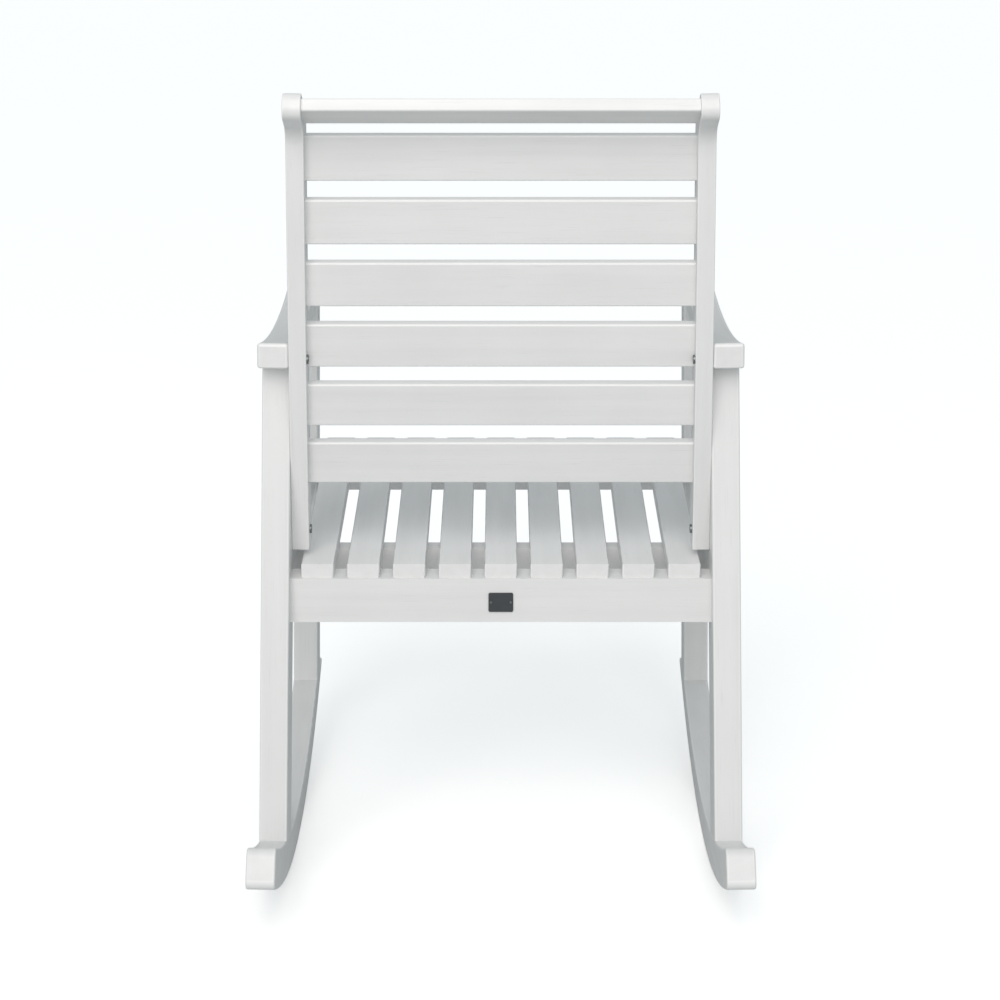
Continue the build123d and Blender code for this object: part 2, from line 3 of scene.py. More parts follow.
import logging
import math
from dataclasses import dataclass
from enum import Enum
from typing import Optional, Sequence

import bmesh
import bpy
import numpy as np
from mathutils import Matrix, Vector


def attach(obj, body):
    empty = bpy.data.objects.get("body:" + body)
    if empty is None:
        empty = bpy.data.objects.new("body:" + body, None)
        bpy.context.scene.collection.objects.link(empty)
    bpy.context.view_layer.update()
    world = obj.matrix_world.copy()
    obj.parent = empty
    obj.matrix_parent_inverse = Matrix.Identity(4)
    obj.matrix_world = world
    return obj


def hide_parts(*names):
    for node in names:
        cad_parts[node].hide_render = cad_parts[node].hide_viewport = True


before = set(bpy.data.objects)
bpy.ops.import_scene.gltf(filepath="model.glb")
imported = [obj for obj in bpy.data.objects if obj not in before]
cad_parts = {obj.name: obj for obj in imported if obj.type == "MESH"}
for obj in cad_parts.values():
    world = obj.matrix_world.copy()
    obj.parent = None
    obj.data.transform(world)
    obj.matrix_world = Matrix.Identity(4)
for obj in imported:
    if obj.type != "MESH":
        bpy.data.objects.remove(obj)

LOG = logging.getLogger("rocking_chair")
BODY = "root"
MM = 0.001

# Points nearer to each other than this are one point
SAME_POINT = 0.002 * MM

# Edges that turn more than this stay sharp
CORNER_ANGLE = math.radians(40)

# How far a board's grain may be moved, in millimetres, so that no two boards look alike
GRAIN_REACH = 4000.0


# ---- Small tools


def hex_colour(code: str) -> tuple[float, float, float, float]:
    """Turns an sRGB hex colour into linear light.

    Args:
        code: Six hex digits, with or without a leading hash.

    Returns:
        Linear red, green and blue, and an alpha of 1.
    """
    digits = code.lstrip("#")
    channels = [int(digits[i : i + 2], 16) / 255 for i in (0, 2, 4)]
    linear = [c / 12.92 if c <= 0.04045 else ((c + 0.055) / 1.055) ** 2.4 for c in channels]
    return (linear[0], linear[1], linear[2], 1.0)


def add_node(
    tree: bpy.types.NodeTree,
    kind: str,
    settings: Optional[dict[str, object]] = None,
    inputs: Optional[dict[object, object]] = None,
) -> bpy.types.Node:
    """Adds a node, sets its properties, and fills or links its inputs.

    Args:
        tree: The tree that gets the node.
        kind: The node's Blender type name.
        settings: Properties of the node itself.
        inputs: Socket name or number to a value, or to another node's output socket.

    Returns:
        The new node.
    """
    node = tree.nodes.new(kind)
    for name, value in (settings or {}).items():
        setattr(node, name, value)
    for key, value in (inputs or {}).items():
        socket = node.inputs[key]
        if isinstance(value, bpy.types.NodeSocket):
            tree.links.new(value, socket)
        else:
            socket.default_value = value
    return node


def new_material(name: str) -> tuple[bpy.types.Material, bpy.types.NodeTree]:
    """Starts a material with an empty tree, and returns both."""
    material = bpy.data.materials.new(name)
    material.use_nodes = True
    material.node_tree.nodes.clear()
    return material, material.node_tree


def mixed(tree: bpy.types.NodeTree, share: object, first: object, second: object) -> bpy.types.NodeSocket:
    """Mixes two colours.

    Args:
        tree: The material's tree.
        share: How much of the second there is, from 0 to 1.
        first: A colour or its socket.
        second: A colour or its socket.

    Returns:
        The mixed colour's socket.
    """
    inputs = {0: share, 6: first, 7: second}
    return add_node(tree, "ShaderNodeMix", {"data_type": "RGBA"}, inputs).outputs[2]


def ranged(
    tree: bpy.types.NodeTree, value: object, source: tuple[float, float], target: tuple[float, float]
) -> bpy.types.NodeSocket:
    """Carries a value over from one range to another, and returns its socket."""
    inputs = {"Value": value, "From Min": source[0], "From Max": source[1]}
    inputs |= {"To Min": target[0], "To Max": target[1]}
    return add_node(tree, "ShaderNodeMapRange", inputs=inputs).outputs["Result"]


def noise(
    tree: bpy.types.NodeTree, place: object, scale: float, detail: float, rough: float = 0.5
) -> bpy.types.NodeSocket:
    """Draws noise from 0 to 1 over a place, and returns its socket."""
    inputs = {"Vector": place, "Scale": scale, "Detail": detail, "Roughness": rough}
    return add_node(tree, "ShaderNodeTexNoise", inputs=inputs).outputs["Fac"]


def link_object(name: str, mesh: bpy.types.Mesh) -> bpy.types.Object:
    """Puts a mesh into the scene as a new object at the origin.

    Args:
        name: The object's name.
        mesh: Its mesh.

    Returns:
        The object, neither turned nor scaled.
    """
    made = bpy.data.objects.new(name, mesh)
    bpy.context.scene.collection.objects.link(made)
    return made


def baked_mesh(source: bpy.types.Object, name: str) -> bpy.types.Mesh:
    """Turns an object with live modifiers into a plain mesh.

    Args:
        source: The object; its modifiers are removed afterwards.
        name: The new mesh's name.

    Returns:
        The evaluated mesh, with no modifier left on it.
    """
    graph = bpy.context.evaluated_depsgraph_get()
    graph.update()
    mesh = bpy.data.meshes.new_from_object(source.evaluated_get(graph), depsgraph=graph)
    mesh.name = name
    source.modifiers.clear()
    return mesh


class Recipe:
    """A Geometry Nodes tree with named inputs, and the values that one piece gives them."""

    def __init__(self, name: str) -> None:
        """Starts an empty tree that takes a mesh in and gives a mesh out.

        Args:
            name: The tree's name.
        """
        self.tree = bpy.data.node_groups.new(name, "GeometryNodeTree")
        for way in ("INPUT", "OUTPUT"):
            self.tree.interface.new_socket("Geometry", in_out=way, socket_type="NodeSocketGeometry")
        self.entry = add_node(self.tree, "NodeGroupInput")
        self.values: dict[str, object] = {}

    def take(self, name: str, kind: str, value: object) -> bpy.types.NodeSocket:
        """Adds a named input.

        Args:
            name: The input's name.
            kind: What it holds, such as Float, Int, Vector, Material or Object.
            value: The value that the piece gives it.

        Returns:
            The socket that carries it inside the tree.
        """
        socket = self.tree.interface.new_socket(name, in_out="INPUT", socket_type=f"NodeSocket{kind}")
        self.values[socket.identifier] = value
        return self.entry.outputs[name]

    def node(self, kind: str, inputs: dict[object, object], **settings: object) -> bpy.types.Node:
        """Adds a node to the tree.

        Args:
            kind: The node's Blender type name.
            inputs: Socket name or number to a value, or to another node's output socket.
            **settings: Properties of the node itself.

        Returns:
            The new node.
        """
        return add_node(self.tree, kind, settings, inputs)

    def sum(self, first: object, second: object) -> bpy.types.NodeSocket:
        """Adds two numbers, each a value or a socket, and returns the sum's socket."""
        return self.node("ShaderNodeMath", {0: first, 1: second}, operation="ADD").outputs[0]

    def product(self, first: object, second: object) -> bpy.types.NodeSocket:
        """Multiplies two numbers, each a value or a socket, and returns the product's socket."""
        return self.node("ShaderNodeMath", {0: first, 1: second}, operation="MULTIPLY").outputs[0]

    def wave(self, operation: str, angle: object) -> bpy.types.NodeSocket:
        """Takes the SINE or COSINE of an angle in radians, and returns its socket."""
        return self.node("ShaderNodeMath", {0: angle}, operation=operation).outputs[0]

    def vector(self, x: object, y: object, z: object) -> bpy.types.NodeSocket:
        """Puts three numbers together, each a value or a socket, and returns the vector's socket."""
        return self.node("ShaderNodeCombineXYZ", {0: x, 1: y, 2: z}).outputs[0]

    def scatter_grain(self, instances: bpy.types.NodeSocket, seed: int) -> bpy.types.NodeSocket:
        """Gives every instance a stretch of grain of its own.

        Args:
            instances: The instances.
            seed: The fixed seed.

        Returns:
            The instances, with board_shift stored on them.
        """
        seed_socket = self.take("Seed", "Int", seed)
        shift = self.node(
            "FunctionNodeRandomValue",
            {0: (-GRAIN_REACH,) * 3, 1: (GRAIN_REACH,) * 3, "Seed": seed_socket},
            data_type="FLOAT_VECTOR",
        ).outputs[0]
        return self.node(
            "GeometryNodeStoreNamedAttribute",
            {"Geometry": instances, "Name": "board_shift", "Value": shift},
            data_type="FLOAT_VECTOR",
            domain="INSTANCE",
        ).outputs[0]

    def close(self, instances: bpy.types.NodeSocket, material: bpy.types.Material) -> None:
        """Ends the tree: makes the instances real and gives them their material.

        Args:
            instances: What the tree has made.
            material: The material that it gets.
        """
        real = self.node("GeometryNodeRealizeInstances", {"Geometry": instances}).outputs[0]
        paint = self.take("Material", "Material", material)
        dressed = self.node("GeometryNodeSetMaterial", {"Geometry": real, "Material": paint})
        self.node("NodeGroupOutput", {0: dressed.outputs[0]})

    def cook(self, name: str, mesh: bpy.types.Mesh, even_normals: bool = False) -> bpy.types.Object:
        """Runs the tree on a mesh and keeps the result as a plain mesh.

        Args:
            name: The piece's name.
            mesh: The mesh that goes in.
            even_normals: Whether flat faces should look flat beside their eased edges.

        Returns:
            The piece, with no modifier left on it.
        """
        piece = link_object(name, mesh)
        modifier = piece.modifiers.new(self.tree.name, "NODES")
        modifier.node_group = self.tree
        for identifier, value in self.values.items():
            modifier[identifier] = value
        if even_normals:
            piece.modifiers.new("even_normals", "WEIGHTED_NORMAL").keep_sharp = True
        piece.data = baked_mesh(piece, name)
        return piece


# ---- Finishes


@dataclass(frozen=True)
class PaintedHardwood:
    """Satin white enamel, sprayed on planed and sanded hardwood boards.

    The paint is a neutral, slightly uneven white. It gives broad soft highlights, it shows the open
    pores of the wood as fine streaks along each board, and its colour is lighter on the eased
    arrises, a painted highlight.

    Args:
        paint: The paint's colour where it lies thick.
        thin: Its colour where the wood draws it in.
        arris: The colour of the painted highlight on the eased edges.
        pore: Its colour in the open pores.
        roughness: The middle of its roughness.
        pore_mm: Width of a streak across the grain. Real pores are about 0.3 mm wide; they are
            drawn wider, or they would not show.
        pore_length_mm: Length of a streak along the grain.
        figure_mm: Width of the broader bands that follow the grain.
        figure_length_mm: Their length.
        patch_mm: Size of the patches where the coat lies thicker or thinner.
        peel_mm: Spacing of the spray's faint dimples.
    """

    paint: str = "#E5E5E5"
    thin: str = "#DFDFDF"
    arris: str = "#EBEBEB"
    pore: str = "#D1D1D1"
    roughness: float = 0.36
    pore_mm: float = 1.7
    pore_length_mm: float = 48.0
    figure_mm: float = 15.0
    figure_length_mm: float = 420.0
    patch_mm: float = 130.0
    peel_mm: float = 2.6

    def make(self) -> bpy.types.Material:
        """Builds the material from each board's own grain coordinates.

        Returns:
            The material, which reads the attributes grain and board_shift, and the mask of the eased edges
            that get the painted highlight.
        """
        material, tree = new_material("satin_enamel_on_hardwood")
        grain = add_node(tree, "ShaderNodeAttribute", {"attribute_name": "grain"})
        shift = add_node(tree, "ShaderNodeAttribute", {"attribute_name": "board_shift"})
        place = add_node(
            tree,
            "ShaderNodeVectorMath",
            {"operation": "ADD"},
            {0: grain.outputs["Vector"], 1: shift.outputs["Vector"]},
        ).outputs["Vector"]
        pores = self._streaks(tree, place, self.pore_length_mm, self.pore_mm, 3.0)
        figure = self._streaks(tree, place, self.figure_length_mm, self.figure_mm, 2.0)
        tone = noise(tree, place, 1 / self.patch_mm, 3.0, 0.55)
        peel = noise(tree, place, 1 / self.peel_mm, 1.0, 0.4)
        uneven = add_node(
            tree,
            "ShaderNodeMath",
            {"operation": "MULTIPLY_ADD"},
            {0: figure, 1: 0.55, 2: self._scaled(tree, tone, 0.45)},
        ).outputs[0]
        drawn_in = ranged(tree, uneven, (0.38, 0.66), (0.0, 1.0))
        colour = mixed(tree, drawn_in, hex_colour(self.paint), hex_colour(self.thin))
        pore_mask = ranged(tree, pores, (0.60, 0.78), (0.0, 0.42))
        colour = mixed(tree, pore_mask, colour, hex_colour(self.pore))
        # Painted highlight: the eased edges get a lighter colour than the rest of the paint.
        arris = add_node(tree, "ShaderNodeAttribute", {"attribute_name": "arris"}).outputs["Fac"]
        colour = mixed(tree, self._scaled(tree, arris, 0.8), colour, hex_colour(self.arris))
        rough = ranged(tree, uneven, (0.3, 0.7), (self.roughness - 0.05, self.roughness + 0.08))
        peel_bump = add_node(
            tree,
            "ShaderNodeBump",
            inputs={"Strength": 0.10, "Distance": 0.12 * MM, "Height": peel},
        ).outputs["Normal"]
        pore_bump = add_node(
            tree,
            "ShaderNodeBump",
            {"invert": True},
            {"Strength": 0.35, "Distance": 0.10 * MM, "Height": pores, "Normal": peel_bump},
        ).outputs["Normal"]
        shader = add_node(
            tree,
            "ShaderNodeBsdfPrincipled",
            inputs={
                "Base Color": colour,
                "Roughness": rough,
                "IOR": 1.47,
                "Normal": pore_bump,
                "Coat Weight": 0.12,
                "Coat Roughness": 0.22,
            },
        )
        add_node(tree, "ShaderNodeOutputMaterial", inputs={"Surface": shader.outputs["BSDF"]})
        return material

    @staticmethod
    def _scaled(tree: bpy.types.NodeTree, value: bpy.types.NodeSocket, by: float) -> bpy.types.NodeSocket:
        """Multiplies a socket's value by a number, and returns the product's socket."""
        return add_node(tree, "ShaderNodeMath", {"operation": "MULTIPLY"}, {0: value, 1: by}).outputs[0]

    @staticmethod
    def _streaks(
        tree: bpy.types.NodeTree,
        place: bpy.types.NodeSocket,
        length_mm: float,
        width_mm: float,
        detail: float,
    ) -> bpy.types.NodeSocket:
        """Noise that is drawn out along the board.

        Args:
            tree: The material's tree.
            place: Board coordinates in millimetres, the first of them along the grain.
            length_mm: Length of a streak.
            width_mm: Its width.
            detail: Octaves of the noise.

        Returns:
            The noise, from 0 to 1.
        """
        stretched = add_node(
            tree,
            "ShaderNodeMapping",
            inputs={"Vector": place, "Scale": (1 / length_mm, 1 / width_mm, 1 / width_mm)},
        ).outputs["Vector"]
        return noise(tree, stretched, 1.0, detail)


@dataclass(frozen=True)
class ZincPlatedSteel:
    """Socket-head bolts and screws, cold formed and zinc plated.

    Args:
        colour: The plating's colour.
        cloud: Its colour in the duller patches.
        roughness: The middle of its roughness.
        mottle_mm: Size of the plating's faint cloudy patches.
    """

    colour: str = "#85898B"
    cloud: str = "#6E7274"
    roughness: float = 0.34
    mottle_mm: float = 1.6

    def make(self) -> bpy.types.Material:
        """Builds and returns the material."""
        material, tree = new_material("zinc_plated_steel")
        place = add_node(tree, "ShaderNodeTexCoord").outputs["Object"]
        cloud = noise(tree, place, 1 / (self.mottle_mm * MM), 3.0)
        colour = mixed(tree, cloud, hex_colour(self.colour), hex_colour(self.cloud))
        rough = ranged(tree, cloud, (0.0, 1.0), (self.roughness - 0.08, self.roughness + 0.1))
        shader = add_node(
            tree,
            "ShaderNodeBsdfPrincipled",
            inputs={"Base Color": colour, "Metallic": 1.0, "Roughness": rough},
        )
        add_node(tree, "ShaderNodeOutputMaterial", inputs={"Surface": shader.outputs["BSDF"]})
        return material


@dataclass(frozen=True)
class CoatedPlate:
    """A small steel plate, brushed and then coated dark grey.

    Args:
        colour: The coat's colour.
        line: Its colour along the brush lines.
        brush_length_mm: Length of a brush line.
        brush_mm: Spacing of the brush lines, which run from side to side. Real ones are about
            0.05 mm apart; they are drawn wider, or they would not show.
    """

    colour: str = "#424447"
    line: str = "#54575A"
    brush_length_mm: float = 25.0
    brush_mm: float = 0.35

    def make(self) -> bpy.types.Material:
        """Builds and returns the material."""
        material, tree = new_material("dark_coated_steel_plate")
        place = add_node(tree, "ShaderNodeTexCoord").outputs["Object"]
        slow = 1 / (self.brush_length_mm * MM)
        lines = add_node(
            tree,
            "ShaderNodeMapping",
            inputs={"Vector": place, "Scale": (slow, slow, 1 / (self.brush_mm * MM))},
        ).outputs["Vector"]
        brushed = noise(tree, lines, 1.0, 2.0)
        colour = mixed(tree, brushed, hex_colour(self.colour), hex_colour(self.line))
        rough = ranged(tree, brushed, (0.0, 1.0), (0.32, 0.52))
        bump = add_node(
            tree,
            "ShaderNodeBump",
            inputs={"Strength": 0.25, "Distance": 0.03 * MM, "Height": brushed},
        ).outputs["Normal"]
        shader = add_node(
            tree,
            "ShaderNodeBsdfPrincipled",
            inputs={"Base Color": colour, "Metallic": 0.55, "Roughness": rough, "Normal": bump},
        )
        add_node(tree, "ShaderNodeOutputMaterial", inputs={"Surface": shader.outputs["BSDF"]})
        return material


@dataclass(frozen=True)
class BareBeech:
    """Plain turned beech dowels, which stay hidden in their holes.

    Args:
        colour: The wood between its flecks.
        fleck: The colour of its small dark rays.
        flecks_per_metre: How close together they are.
    """

    colour: str = "#D8BC95"
    fleck: str = "#B8936A"
    flecks_per_metre: float = 900.0

    def make(self) -> bpy.types.Material:
        """Builds and returns the material."""
        material, tree = new_material("turned_beech")
        place = add_node(tree, "ShaderNodeTexCoord").outputs["Object"]
        flecks = noise(tree, place, self.flecks_per_metre, 2.0)
        mask = ranged(tree, flecks, (0.55, 0.7), (0.0, 1.0))
        colour = mixed(tree, mask, hex_colour(self.colour), hex_colour(self.fleck))
        shader = add_node(
            tree, "ShaderNodeBsdfPrincipled", inputs={"Base Color": colour, "Roughness": 0.62}
        )
        add_node(tree, "ShaderNodeOutputMaterial", inputs={"Surface": shader.outputs["BSDF"]})
        return material


class Slot(Enum):
    """The record's material slots."""

    WOOD = "painted_wood"
    BEECH = "bare_beech"
    STEEL = "zinc_steel"
    PLATE = "plate"


class Side(Enum):
    """The sitter's left and right; the value is the sign of X there."""

    LEFT = 1
    RIGHT = -1

    @property
    def word(self) -> str:
        """The side's name in a node."""
        return self.name.lower()


@dataclass(frozen=True)
class Palette:
    """The finished materials.

    Args:
        materials: One material for each slot.
    """

    materials: dict[Slot, bpy.types.Material]

    @classmethod
    def mix(cls) -> "Palette":
        """Makes every finish, and returns them together."""
        finishes = {
            Slot.WOOD: PaintedHardwood(),
            Slot.BEECH: BareBeech(),
            Slot.STEEL: ZincPlatedSteel(),
            Slot.PLATE: CoatedPlate(),
        }
        return cls({slot: finish.make() for slot, finish in finishes.items()})

    def dress_node(self, node: str, slot: Slot) -> None:
        """Gives a carried-over CAD node its material.

        Args:
            node: The node's name.
            slot: The slot whose material it gets.
        """
        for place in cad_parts[node].material_slots:
            place.material = self.materials[slot]


# ---- Boards


@dataclass(frozen=True)
class Board:
    """One painted board that keeps the shape of its CAD node.

    Args:
        node: The CAD node that it stands for.
        along: The way the grain runs.
        seed: A number of its own, which moves its grain to a stretch of its own.
    """

    node: str
    along: tuple[float, float, float]
    seed: int

    def build(self, palette: Palette) -> bpy.types.Object:
        """Makes the board, smooths its eased edges and marks its grain.

        Args:
            palette: The finishes.

        Returns:
            The finished piece.
        """
        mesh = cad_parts[self.node].data.copy()
        merge_and_smooth(mesh)
        mark_grain(mesh, Vector(self.along))
        mark_arrises(mesh)
        rng = np.random.default_rng(self.seed)
        mark_shift(mesh, rng.uniform(-GRAIN_REACH, GRAIN_REACH, 3))
        piece = link_object(f"{self.node}.board", mesh)
        piece.modifiers.new("even_normals", "WEIGHTED_NORMAL").keep_sharp = True
        piece.data = baked_mesh(piece, f"{self.node}.board")
        piece.data.materials.clear()
        piece.data.materials.append(palette.materials[Slot.WOOD])
        return settle(piece, [self.node])


def merge_and_smooth(mesh: bpy.types.Mesh) -> None:
    """Joins a mesh's loose triangles and smooths it, all but its sharp edges.

    Args:
        mesh: The mesh, which is changed in place.
    """
    shell = bmesh.new()
    shell.from_mesh(mesh)
    bmesh.ops.remove_doubles(shell, verts=shell.verts, dist=SAME_POINT)
    bmesh.ops.dissolve_limit(
        shell,
        angle_limit=math.radians(0.05),
        verts=shell.verts,
        edges=shell.edges,
        delimit={"NORMAL"},
    )
    for face in shell.faces:
        face.smooth = True
    shell.to_mesh(mesh)
    shell.free()
    mesh.set_sharp_from_angle(angle=CORNER_ANGLE)


def mark_grain(mesh: bpy.types.Mesh, along: Vector) -> None:
    """Stores each point's place in the board, in millimetres: along, across and through it.

    Args:
        mesh: The board's mesh.
        along: The way the grain runs.
    """
    first = along.normalized()
    helper = Vector((1, 0, 0)) if abs(first.x) < 0.7 else Vector((0, 1, 0))
    second = first.cross(helper).normalized()
    third = first.cross(second)
    points = np.empty(len(mesh.vertices) * 3)
    mesh.vertices.foreach_get("co", points)
    turned = points.reshape(-1, 3) @ np.array([first, second, third]).T / MM
    layer = mesh.attributes.new("grain", "FLOAT_VECTOR", "POINT")
    layer.data.foreach_set("vector", turned.ravel())


def mark_arrises(mesh: bpy.types.Mesh, widest: float = 3.0 * MM) -> None:
    """Marks the narrow faces of the eased edges, where a painted highlight makes the paint lighter.

    Args:
        mesh: The board's mesh.
        widest: Twice the mean width, in metres, that a face may have and still count as an arris.
    """
    # This mask says where the painted highlight goes.
    layer = mesh.attributes.new("arris", "FLOAT", "FACE")
    for face in mesh.polygons:
        corners = [mesh.vertices[i].co for i in face.vertices]
        sides = [(a - b).length for a, b in zip(corners, corners[1:] + corners[:1])]
        narrow = face.area / max(sides) < widest / 2
        layer.data[face.index].value = 1.0 if narrow and len(corners) <= 4 else 0.0


def mark_shift(mesh: bpy.types.Mesh, shift: Sequence[float]) -> None:
    """Stores how far the board's grain is moved along.

    Args:
        mesh: The board's mesh.
        shift: The distance along, across and through the board, in millimetres.
    """
    layer = mesh.attributes.new("board_shift", "FLOAT_VECTOR", "POINT")
    layer.data.foreach_set("vector", np.tile(shift, len(mesh.vertices)))


@dataclass(frozen=True)
class SideFrame:
    """One side of the chair: a rocker, two legs, an arm and the rail along the seat.

    Args:
        side: Which side it is.
        first_seed: Seed of its first board; the others count on from it.
        splay: How far it leans in towards the top, in degrees.
        rake: How far the rear leg leans forwards, in degrees.
        seat_slope: How far the side rail rises towards the front, as a share of its length.
    """

    side: Side
    first_seed: int
    splay: float = 1.0
    rake: float = 7.7
    seat_slope: float = 0.065

    def boards(self) -> list[Board]:
        """Lists the boards of the frame, each with the grain along its length."""
        lean = self.side.value * -math.sin(math.radians(self.splay))
        rake = math.tan(math.radians(self.rake))
        ways = {
            "rocker": (0.0, 1.0, 0.0),
            "rear_leg": (lean, -rake, 1.0),
            "front_leg": (lean, 0.0, 1.0),
            "arm": (0.0, 1.0, 0.0),
            "side_rail": (0.0, 1.0, -self.seat_slope),
        }
        return [
            Board(f"{name}_{self.side.word}", way, self.first_seed + count)
            for count, (name, way) in enumerate(ways.items())
        ]

    def build(self, palette: Palette) -> list[bpy.types.Object]:
        """Makes the frame's boards.

        Args:
            palette: The finishes.

        Returns:
            The finished boards.
        """
        return [board.build(palette) for board in self.boards()]


@dataclass(frozen=True)
class Back:
    """The reclined back: two posts, the crest rail laid over them, and a ladder of slats.

    The rear faces of the slats lie on an arc that leans back less and less towards the top. The
    slats get shorter towards the top, as the side frames lean in.

    Args:
        slats: How many slats there are.
        pitch: From one slat to the next, in metres, along the arc.
        height: A slat's height, in metres.
        thickness: Its thickness, in metres.
        edge: The rounding of its long edges, in metres.
        half: Half the lowest slat's length, in metres, tenons included.
        narrowing: How much shorter each next one is, as a share of the lowest.
        arc: The radius of the arc, in metres.
        lean: How far the lowest slat leans behind plumb, in degrees.
        foot: The middle of the lowest slat's rear face: y and z, in metres.
        seed: Seed for the slats' grain.
    """

    slats: int = 6
    pitch: float = 0.0763
    height: float = 0.054
    thickness: float = 0.015
    edge: float = 0.0025
    half: float = 0.2394
    narrowing: float = 0.0055
    arc: float = 4.5
    lean: float = 10.6
    foot: tuple[float, float] = (0.1373, 0.5315)
    seed: int = 61

    def build(self, palette: Palette) -> list[bpy.types.Object]:
        """Makes the posts, the crest rail and the slats.

        Args:
            palette: The finishes.

        Returns:
            The finished pieces.
        """
        up_the_post = (0.0, 0.15, 1.0)
        boards = [
            Board("back_post_left", up_the_post, 31),
            Board("back_post_right", up_the_post, 32),
            Board("crest_rail", (1.0, 0.0, 0.0), 33),
        ]
        return [board.build(palette) for board in boards] + [self._ladder(palette)]

    def _ladder(self, palette: Palette) -> bpy.types.Object:
        """Makes all the slats as one piece: a rounded board, repeated up the arc of the back."""
        recipe = Recipe("back_slat_ladder")
        slat = self._slat(recipe)
        index = recipe.node("GeometryNodeInputIndex", {}).outputs[0]
        arc = recipe.take("Arc radius", "Float", self.arc)
        start = recipe.take("Lean at the foot", "Float", math.radians(self.lean))
        along = recipe.product(index, recipe.take("Pitch", "Float", self.pitch))
        swept = recipe.node("ShaderNodeMath", {0: along, 1: arc}, operation="DIVIDE").outputs[0]
        here = recipe.sum(start, recipe.product(swept, -1.0))
        back = recipe.sum(recipe.wave("COSINE", here), recipe.product(recipe.wave("COSINE", start), -1.0))
        up = recipe.sum(recipe.wave("SINE", start), recipe.product(recipe.wave("SINE", here), -1.0))
        foot_y = recipe.take("Foot Y", "Float", self.foot[0])
        foot_z = recipe.take("Foot Z", "Float", self.foot[1])
        place = recipe.vector(
            0.0, recipe.sum(foot_y, recipe.product(arc, back)), recipe.sum(foot_z, recipe.product(arc, up))
        )
        row = recipe.node("GeometryNodePoints", {"Count": recipe.take("Count", "Int", self.slats)})
        points = recipe.node("GeometryNodeSetPosition", {"Geometry": row.outputs[0], "Position": place})
        shorter = recipe.product(index, recipe.take("Narrowing", "Float", -self.narrowing))
        size = recipe.vector(recipe.sum(1.0, shorter), 1.0, 1.0)
        lay = recipe.vector(recipe.product(here, -1.0), 0.0, 0.0)
        instances = recipe.node(
            "GeometryNodeInstanceOnPoints",
            {"Points": points.outputs[0], "Instance": slat, "Rotation": lay, "Scale": size},
        ).outputs[0]
        recipe.close(recipe.scatter_grain(instances, self.seed), palette.materials[Slot.WOOD])
        piece = recipe.cook("back_slats", bpy.data.meshes.new("back_slats.seed"), even_normals=True)
        return settle(piece, [f"back_slat_{number + 1}" for number in range(self.slats)])

    def _slat(self, recipe: Recipe) -> bpy.types.NodeSocket:
        """Draws one slat, its rear face on the XZ plane, with its grain marked, and its arrises marked for a
        painted highlight.

        Args:
            recipe: The tree that draws it.

        Returns:
            The slat's socket.
        """
        height = recipe.take("Slat height", "Float", self.height)
        thickness = recipe.take("Slat thickness", "Float", self.thickness)
        half = recipe.take("Half length", "Float", self.half)
        outline = recipe.node(
            "GeometryNodeCurvePrimitiveQuadrilateral",
            {"Width": thickness, "Height": height},
            mode="RECTANGLE",
        ).outputs[0]
        edge = recipe.take("Edge rounding", "Float", self.edge)
        rounded = recipe.node(
            "GeometryNodeFilletCurve", {"Curve": outline, "Radius": edge, "Count": 5}, mode="POLY"
        )
        rail = recipe.node(
            "GeometryNodeCurvePrimitiveLine",
            {"Start": recipe.vector(recipe.product(half, -1.0), 0, 0), "End": recipe.vector(half, 0, 0)},
        ).outputs[0]
        body = recipe.node(
            "GeometryNodeCurveToMesh",
            {"Curve": rail, "Profile Curve": rounded.outputs[0], "Fill Caps": True},
        ).outputs[0]
        forward = recipe.vector(0.0, recipe.product(thickness, -0.5), 0.0)
        moved = recipe.node("GeometryNodeTransform", {"Geometry": body, "Translation": forward}).outputs[0]
        return mark_in_tree(recipe, moved)


@dataclass(frozen=True)
class Seat:
    """The seat: a row of slats on four rails that run from side to side.

    Args:
        slats: How many slats there are.
        pitch: From one slat to the next, in metres.
        middle: The number of the slat in the middle, which the row repeats.
        seed: Seed for the slats' grain.
    """

    slats: int = 9
    pitch: float = 0.0555625
    middle: int = 5
    seed: int = 47

    def build(self, palette: Palette) -> list[bpy.types.Object]:
        """Makes the rails and the row of slats.

        Args:
            palette: The finishes.

        Returns:
            The finished pieces.
        """
        rails = ("rear_rail", "rear_cleat", "cross_rail", "front_rail")
        pieces = [
            Board(node, (1.0, 0.0, 0.0), seed).build(palette) for seed, node in enumerate(rails, start=40)
        ]
        return pieces + [self._row(palette)]

    def _row(self, palette: Palette) -> bpy.types.Object:
        """Makes all the slats as one piece: the middle one, repeated from side to side."""
        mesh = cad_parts[f"seat_slat_{self.middle}"].data.copy()
        merge_and_smooth(mesh)
        mark_grain(mesh, Vector((0.0, 1.0, 0.0)))
        mark_arrises(mesh)
        recipe = Recipe("seat_slat_row")
        count = recipe.take("Count", "Int", self.slats)
        pitch = recipe.take("Pitch", "Float", self.pitch)
        first = recipe.product(recipe.product(recipe.sum(count, -1.0), pitch), -0.5)
        row = recipe.node(
            "GeometryNodeMeshLine",
            {
                "Count": count,
                "Start Location": recipe.vector(first, 0.0, 0.0),
                "Offset": recipe.vector(pitch, 0.0, 0.0),
            },
            mode="OFFSET",
        ).outputs[0]
        instances = recipe.node(
            "GeometryNodeInstanceOnPoints", {"Points": row, "Instance": recipe.entry.outputs["Geometry"]}
        ).outputs[0]
        recipe.close(recipe.scatter_grain(instances, self.seed), palette.materials[Slot.WOOD])
        piece = recipe.cook("seat_slats", mesh, even_normals=True)
        return settle(piece, [f"seat_slat_{number + 1}" for number in range(self.slats)])


def settle(piece: bpy.types.Object, nodes: Sequence[str]) -> bpy.types.Object:
    """Hides the CAD nodes that a piece stands for, and hangs the piece on its body.

    Args:
        piece: The finished piece.
        nodes: The CAD nodes that it replaces.

    Returns:
        The same piece.
    """
    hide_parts(*nodes)
    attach(piece, BODY)
    return piece


